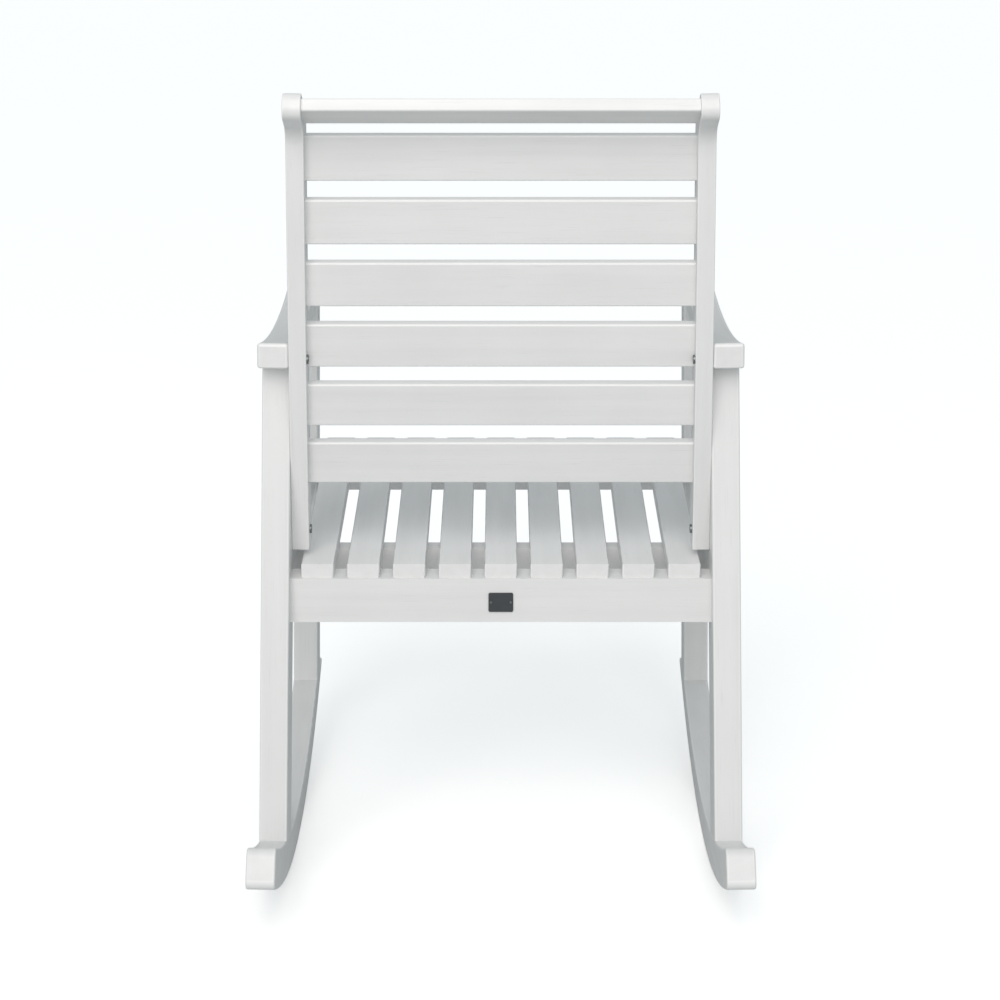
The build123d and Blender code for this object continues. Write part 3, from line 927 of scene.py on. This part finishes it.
def mark_in_tree(recipe: Recipe, geometry: bpy.types.NodeSocket) -> bpy.types.NodeSocket:
    """Marks the grain of a board that a tree draws along X, and its arrises, which get a painted highlight.

    Args:
        recipe: The tree.
        geometry: The board.

    Returns:
        The board, smooth but for its corners, with the attributes that the paint reads.
    """
    place = recipe.node("GeometryNodeInputPosition", {}).outputs[0]
    in_mm = recipe.node("ShaderNodeVectorMath", {0: place, "Scale": 1 / MM}, operation="SCALE").outputs[0]
    grained = recipe.node(
        "GeometryNodeStoreNamedAttribute",
        {"Geometry": geometry, "Name": "grain", "Value": in_mm},
        data_type="FLOAT_VECTOR",
        domain="POINT",
    ).outputs[0]
    normal = recipe.node("GeometryNodeInputNormal", {}).outputs[0]
    upright = recipe.node("ShaderNodeVectorMath", {0: normal}, operation="ABSOLUTE").outputs[0]
    parts = recipe.node("ShaderNodeSeparateXYZ", {0: upright}).outputs
    larger = recipe.node("ShaderNodeMath", {0: parts[0], 1: parts[1]}, operation="MAXIMUM").outputs[0]
    largest = recipe.node("ShaderNodeMath", {0: larger, 1: parts[2]}, operation="MAXIMUM").outputs[0]
    # Slanting faces are the eased edges, which the paint makes lighter as a painted highlight.
    nearly_square = 0.998
    slanting = recipe.node(
        "ShaderNodeMath", {0: largest, 1: nearly_square}, operation="LESS_THAN"
    ).outputs[0]
    eased = recipe.node(
        "GeometryNodeStoreNamedAttribute",
        {"Geometry": grained, "Name": "arris", "Value": slanting},
        data_type="FLOAT",
        domain="FACE",
    ).outputs[0]
    smooth = recipe.node("GeometryNodeSetShadeSmooth", {"Geometry": eased}).outputs[0]
    angle = recipe.node("GeometryNodeInputMeshEdgeAngle", {}).outputs[0]
    corner = recipe.node("ShaderNodeMath", {0: angle, 1: CORNER_ANGLE}, operation="GREATER_THAN").outputs[0]
    return recipe.node(
        "GeometryNodeSetShadeSmooth",
        {"Geometry": smooth, "Selection": corner, "Shade Smooth": False},
        domain="EDGE",
    ).outputs[0]


# ---- Hardware


class Drive(Enum):
    """The recess that turns a fastener; the value is its number of sides."""

    NONE = 0
    SQUARE = 4
    HEX = 6

    @property
    def taper(self) -> float:
        """Length of the shank's end as a share of its radius: wood screws are pointed."""
        return 1.6 if self is Drive.SQUARE else 0.4


@dataclass(frozen=True)
class Fasteners:
    """A set of like bolts, screws or pins, each turned at random as a driver leaves it.

    Args:
        node: The CAD node whose solids they stand for; their places come from it.
        way: The way they are driven on the sitter's left; the right-hand ones are mirrored.
        head: Radius and length of the head, in millimetres.
        shank: Radius and length of the shank, in millimetres.
        drive: The kind of recess in the head.
        recess: Radius and depth of the recess, in millimetres.
        seed: Seed for the turns.
        segments: How many flats stand for a round.
        easing: The rounding of the head's rim, as a share of the head's length.
    """

    node: str
    way: tuple[float, float, float]
    head: tuple[float, float]
    shank: tuple[float, float]
    drive: Drive
    recess: tuple[float, float]
    seed: int
    segments: int = 36
    easing: float = 0.12

    def build(self, palette: Palette) -> bpy.types.Object:
        """Makes one fastener and repeats it at every place.

        Args:
            palette: The finishes.

        Returns:
            The finished piece.
        """
        pattern = link_object(f"{self.node}.pattern", self._pattern())
        recipe = Recipe(f"{self.node}.set")
        source = recipe.take("Fastener", "Object", pattern)
        one = recipe.node("GeometryNodeObjectInfo", {"Object": source}).outputs["Geometry"]
        way = recipe.node(
            "GeometryNodeInputNamedAttribute", {"Name": "way"}, data_type="FLOAT_VECTOR"
        ).outputs[0]
        facing = recipe.node("FunctionNodeAlignRotationToVector", {"Vector": way}, axis="Z").outputs[0]
        seed = recipe.take("Seed", "Int", self.seed)
        turn = recipe.node(
            "FunctionNodeRandomValue", {2: 0.0, 3: math.tau, "Seed": seed}, data_type="FLOAT"
        ).outputs[1]
        spin = recipe.node(
            "FunctionNodeAxisAngleToRotation", {"Axis": (0.0, 0.0, 1.0), "Angle": turn}
        ).outputs[0]
        turned = recipe.node(
            "FunctionNodeRotateRotation", {0: facing, 1: spin}, rotation_space="LOCAL"
        ).outputs[0]
        instances = recipe.node(
            "GeometryNodeInstanceOnPoints",
            {"Points": recipe.entry.outputs["Geometry"], "Instance": one, "Rotation": turned},
        ).outputs[0]
        recipe.close(instances, palette.materials[Slot.STEEL])
        piece = recipe.cook(f"{self.node}.set", self._places())
        bpy.data.objects.remove(pattern)
        return settle(piece, [self.node])

    def _places(self) -> bpy.types.Mesh:
        """Makes a mesh of points, one at the end of each head, which also holds the way it is driven."""
        flat = 0.02 * MM
        places, ways = [], []
        for solid in solids_of(self.node):
            side = 1.0 if solid[:, 0].mean() > 0 else -1.0
            way = Vector((self.way[0] * side, self.way[1], self.way[2])).normalized()
            depth = solid @ np.array(way)
            end = solid[depth < depth.min() + flat]
            places.append(tuple((end.min(axis=0) + end.max(axis=0)) / 2))
            ways.append(tuple(way))
        mesh = bpy.data.meshes.new(f"{self.node}.places")
        mesh.from_pydata(places, [], [])
        layer = mesh.attributes.new("way", "FLOAT_VECTOR", "POINT")
        layer.data.foreach_set("vector", np.array(ways).ravel())
        return mesh

    def _ring(self, radius: float, depth: float, sides: int = 0) -> list[tuple[float, float, float]]:
        """Lays out a ring of points.

        Args:
            radius: Its radius in millimetres, out to the corners where it has sides.
            depth: How far along the fastener it is, in millimetres.
            sides: Its number of flat sides; with none it is round.

        Returns:
            The points, in metres.
        """
        ring = []
        for step in range(self.segments):
            angle = math.tau * step / self.segments
            reach = radius
            if sides:
                slice_angle = math.tau / sides
                off = angle % slice_angle - slice_angle / 2
                reach = radius * math.cos(slice_angle / 2) / math.cos(off)
            ring.append((reach * math.cos(angle) * MM, reach * math.sin(angle) * MM, depth * MM))
        return ring

    def _pattern(self) -> bpy.types.Mesh:
        """Draws one fastener: its head ends at the origin, and its shank runs up Z."""
        head_r, head_l = self.head
        shank_r, shank_l = self.shank
        recess_r, recess_d = self.recess
        sides = self.drive.value
        ease = self.easing * head_l
        end = head_l + shank_l
        if self.drive is Drive.NONE:
            rings = [self._ring(0.55 * head_r, 0.0)]
        else:
            rings = [self._ring(0.9 * recess_r, recess_d, sides), self._ring(recess_r, 0.0, sides)]
        rings += [
            self._ring(head_r - ease, 0.0),
            self._ring(head_r - 0.3 * ease, 0.3 * ease),
            self._ring(head_r, ease),
            self._ring(head_r, head_l),
            self._ring(shank_r, head_l),
            self._ring(shank_r, end - self.drive.taper * shank_r),
            self._ring(0.35 * shank_r, end),
        ]
        points = [corner for ring in rings for corner in ring]
        count = self.segments
        faces = [tuple(reversed(range(count)))]
        for low in range(len(rings) - 1):
            for step in range(count):
                following = (step + 1) % count
                first, second = low * count, (low + 1) * count
                faces.append((first + step, first + following, second + following, second + step))
        last = (len(rings) - 1) * count
        faces.append(tuple(range(last, last + count)))
        mesh = bpy.data.meshes.new(f"{self.node}.pattern")
        mesh.from_pydata(points, [], faces)
        mesh.shade_smooth()
        mesh.set_sharp_from_angle(angle=math.radians(35))
        return mesh


def solids_of(node: str) -> list[np.ndarray]:
    """Splits a CAD node into its separate solids.

    Args:
        node: The node's name.

    Returns:
        The corner points of each solid, in metres.
    """
    shell = bmesh.new()
    shell.from_mesh(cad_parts[node].data)
    bmesh.ops.remove_doubles(shell, verts=shell.verts, dist=SAME_POINT)
    shell.verts.ensure_lookup_table()
    seen: set[int] = set()
    solids = []
    for start in shell.verts:
        if start.index in seen:
            continue
        seen.add(start.index)
        waiting, found = [start], []
        while waiting:
            corner = waiting.pop()
            found.append(tuple(corner.co))
            for edge in corner.link_edges:
                other = edge.other_vert(corner)
                if other.index not in seen:
                    seen.add(other.index)
                    waiting.append(other)
        solids.append(np.array(found))
    shell.free()
    return solids


@dataclass(frozen=True)
class Hardware:
    """Everything that holds the boards together.

    Args:
        splay: How far the side frames lean in, in degrees.
        pocket_slant: How far the arms' screws lean, in degrees.
    """

    splay: float = 1.0
    pocket_slant: float = 20.0

    def build(self, palette: Palette) -> list[bpy.types.Object]:
        """Makes the bolts, screws and pins, and dresses the hidden CAD hardware.

        Args:
            palette: The finishes.

        Returns:
            The finished sets.
        """
        lean = math.radians(self.splay)
        slant = math.radians(self.pocket_slant - self.splay)
        outwards = (math.cos(lean), 0.0, math.sin(lean))
        inwards = (-outwards[0], 0.0, -outwards[2])
        slanting = (math.sin(slant), 0.0, math.cos(slant))
        upwards, rearwards, forwards = (0.0, 0.0, 1.0), (0.0, 1.0, 0.0), (0.0, -1.0, 0.0)
        sets = [
            Fasteners("back_post_bolts", outwards, (5.5, 2.4), (3.0, 40.0), Drive.HEX, (2.3, 1.4), 71),
            Fasteners("rail_bolts", inwards, (5.5, 6.0), (3.0, 68.0), Drive.HEX, (2.3, 3.6), 72),
            Fasteners("seat_slat_screws", upwards, (3.5, 3.0), (2.0, 31.0), Drive.SQUARE, (1.5, 1.6), 73),
            Fasteners("cleat_screws", rearwards, (3.5, 3.0), (2.0, 27.0), Drive.SQUARE, (1.5, 1.6), 74),
            Fasteners("arm_pocket_screws", slanting, (4.0, 4.0), (2.0, 32.0), Drive.SQUARE, (1.5, 1.6), 75),
            Fasteners("nameplate_pins", forwards, (1.6, 0.8), (0.8, 9.5), Drive.NONE, (0.0, 0.0), 76),
        ]
        for node in ("back_post_inserts", "rail_barrel_nuts"):
            palette.dress_node(node, Slot.STEEL)
        for node in ("rail_dowels", "side_rail_dowels", "rocker_dowels", "arm_dowels", "seat_front_dowels"):
            palette.dress_node(node, Slot.BEECH)
        palette.dress_node("nameplate", Slot.PLATE)
        return [fasteners.build(palette) for fasteners in sets]


# ---- Studio


@dataclass(frozen=True)
class Sweep:
    """A very large, far and soft light, which lights the chair and the whole floor alike.

    Args:
        name: Its name.
        azimuth: Where it stands: 0 is in front of the chair, and 90 at the sitter's left.
        elevation: Its height above the horizon, in degrees.
        strength: Its light on a surface that faces it, in watts per square metre.
        spread: How wide it looks from the chair, in degrees.
        colour: Its colour.
    """

    name: str
    azimuth: float
    elevation: float
    strength: float
    spread: float
    colour: str = "#FFFFFF"

    def hang(self) -> None:
        """Puts the light into the scene."""
        light = bpy.data.lights.new(self.name, "SUN")
        light.energy = self.strength
        light.angle = math.radians(self.spread)
        light.color = hex_colour(self.colour)[:3]
        lamp = bpy.data.objects.new(self.name, light)
        turn = math.radians(self.azimuth)
        rise = math.radians(self.elevation)
        towards = Vector((math.sin(turn) * math.cos(rise), -math.cos(turn) * math.cos(rise), math.sin(rise)))
        lamp.location = towards * 6.0
        lamp.rotation_euler = (-towards).to_track_quat("-Z", "Y").to_euler()
        bpy.context.scene.collection.objects.link(lamp)


@dataclass(frozen=True)
class Softbox:
    """A square soft light near the chair, which is brighter on its upper part.

    Args:
        name: Its name.
        place: Where it hangs, in metres.
        aim: The point that it faces, in metres.
        power: Its power in watts.
        width: The length of its sides, in metres.
        colour: Its colour.
    """

    name: str
    place: tuple[float, float, float]
    aim: tuple[float, float, float]
    power: float
    width: float
    colour: str = "#FFFAF6"

    def hang(self) -> None:
        """Puts the light into the scene."""
        light = bpy.data.lights.new(self.name, "AREA")
        light.shape = "SQUARE"
        light.size = self.width
        light.energy = self.power
        light.color = hex_colour(self.colour)[:3]
        lamp = bpy.data.objects.new(self.name, light)
        lamp.location = self.place
        facing = Vector(self.aim) - Vector(self.place)
        lamp.rotation_euler = facing.to_track_quat("-Z", "Y").to_euler()
        bpy.context.scene.collection.objects.link(lamp)


@dataclass(frozen=True)
class Studio:
    """A white sweep, soft light from all round, and one camera behind the chair.

    Args:
        floor_half: Half the floor's width, in metres.
        floor_lift: Light added to the floor where the camera sees it, so that it is almost white.
        camera_back: The camera's distance behind the origin, in metres.
        camera_height: Its height above the floor, in metres.
        camera_side: How far it stands off the chair's middle, in metres.
        pitch: How far it looks down, in degrees.
        focal_share: Its focal length as a share of its sensor's width.
        shift: Its vertical shift, as a share of the picture.
        sky: Colour of the even light of the room.
        sky_strength: Its strength.
    """

    floor_half: float = 40.0
    floor_lift: float = 0.36
    camera_back: float = 2.9856
    camera_height: float = 1.320
    camera_side: float = 0.001
    pitch: float = 14.0
    focal_share: float = 2.45
    shift: float = -0.10
    sky: str = "#EEF7FA"
    sky_strength: float = 0.49

    def build(self) -> None:
        """Makes the floor, the lights and the camera."""
        self._lay_floor()
        self._light_up()
        self._stand_camera()

    def _lay_floor(self) -> None:
        """Lays a plain pale floor."""
        half = self.floor_half
        mesh = bpy.data.meshes.new("floor")
        corners = [(-half, -half, 0), (half, -half, 0), (half, half, 0), (-half, half, 0)]
        mesh.from_pydata(corners, [], [(0, 1, 2, 3)])
        floor = link_object("floor", mesh)
        material, tree = new_material("matt_white_sweep")
        seen = add_node(tree, "ShaderNodeLightPath").outputs["Is Camera Ray"]
        colour = mixed(tree, seen, hex_colour("#D0D2D2"), hex_colour("#FDFDFD"))
        matt = add_node(tree, "ShaderNodeBsdfDiffuse", inputs={"Color": colour})
        lift = add_node(tree, "ShaderNodeMath", {"operation": "MULTIPLY"}, {0: seen, 1: self.floor_lift})
        glow = add_node(tree, "ShaderNodeEmission", inputs={"Strength": lift.outputs[0]})
        both = add_node(tree, "ShaderNodeAddShader", inputs={0: matt.outputs[0], 1: glow.outputs[0]})
        add_node(tree, "ShaderNodeOutputMaterial", inputs={"Surface": both.outputs[0]})
        mesh.materials.append(material)

    def _light_up(self) -> None:
        """Sets the even light of the white room, a broad key behind the chair and a front fill."""
        world = bpy.data.worlds.new("white_room")
        world.use_nodes = True
        even = world.node_tree.nodes["Background"]
        even.inputs["Color"].default_value = hex_colour(self.sky)
        even.inputs["Strength"].default_value = self.sky_strength
        bpy.context.scene.world = world
        Sweep("key", azimuth=172.0, elevation=27.0, strength=1.12, spread=50.0, colour="#FFFAF6").hang()
        Softbox("upper_key", place=(0.26, 1.9, 2.3), aim=(0.0, 0.1, 0.75), power=20.0, width=1.8).hang()
        Sweep("fill", azimuth=-25.0, elevation=38.0, strength=0.18, spread=70.0).hang()
        bpy.context.scene.view_settings.view_transform = "Standard"

    def _stand_camera(self) -> None:
        """Stands the camera behind the chair, a little above the crest rail."""
        camera = bpy.data.cameras.new("camera")
        camera.sensor_width = 36.0
        camera.lens = self.focal_share * camera.sensor_width
        camera.shift_y = self.shift
        camera.clip_end = 200.0
        stand = bpy.data.objects.new("camera", camera)
        stand.location = (self.camera_side, self.camera_back, self.camera_height)
        stand.rotation_euler = (math.radians(90.0 - self.pitch), 0.0, math.radians(180.0))
        bpy.context.scene.collection.objects.link(stand)
        bpy.context.scene.camera = stand


def main() -> None:
    """Builds the chair's parts in order, and then the studio."""
    logging.basicConfig(level=logging.INFO, format="%(name)s: %(message)s")
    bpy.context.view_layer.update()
    palette = Palette.mix()
    pieces = SideFrame(Side.LEFT, 10).build(palette)
    pieces += SideFrame(Side.RIGHT, 20).build(palette)
    pieces += Back().build(palette)
    pieces += Seat().build(palette)
    pieces += Hardware().build(palette)
    for piece in pieces:
        LOG.info("%s: %d faces", piece.name, len(piece.data.polygons))
    Studio().build()


if __name__ == "__main__":
    main()
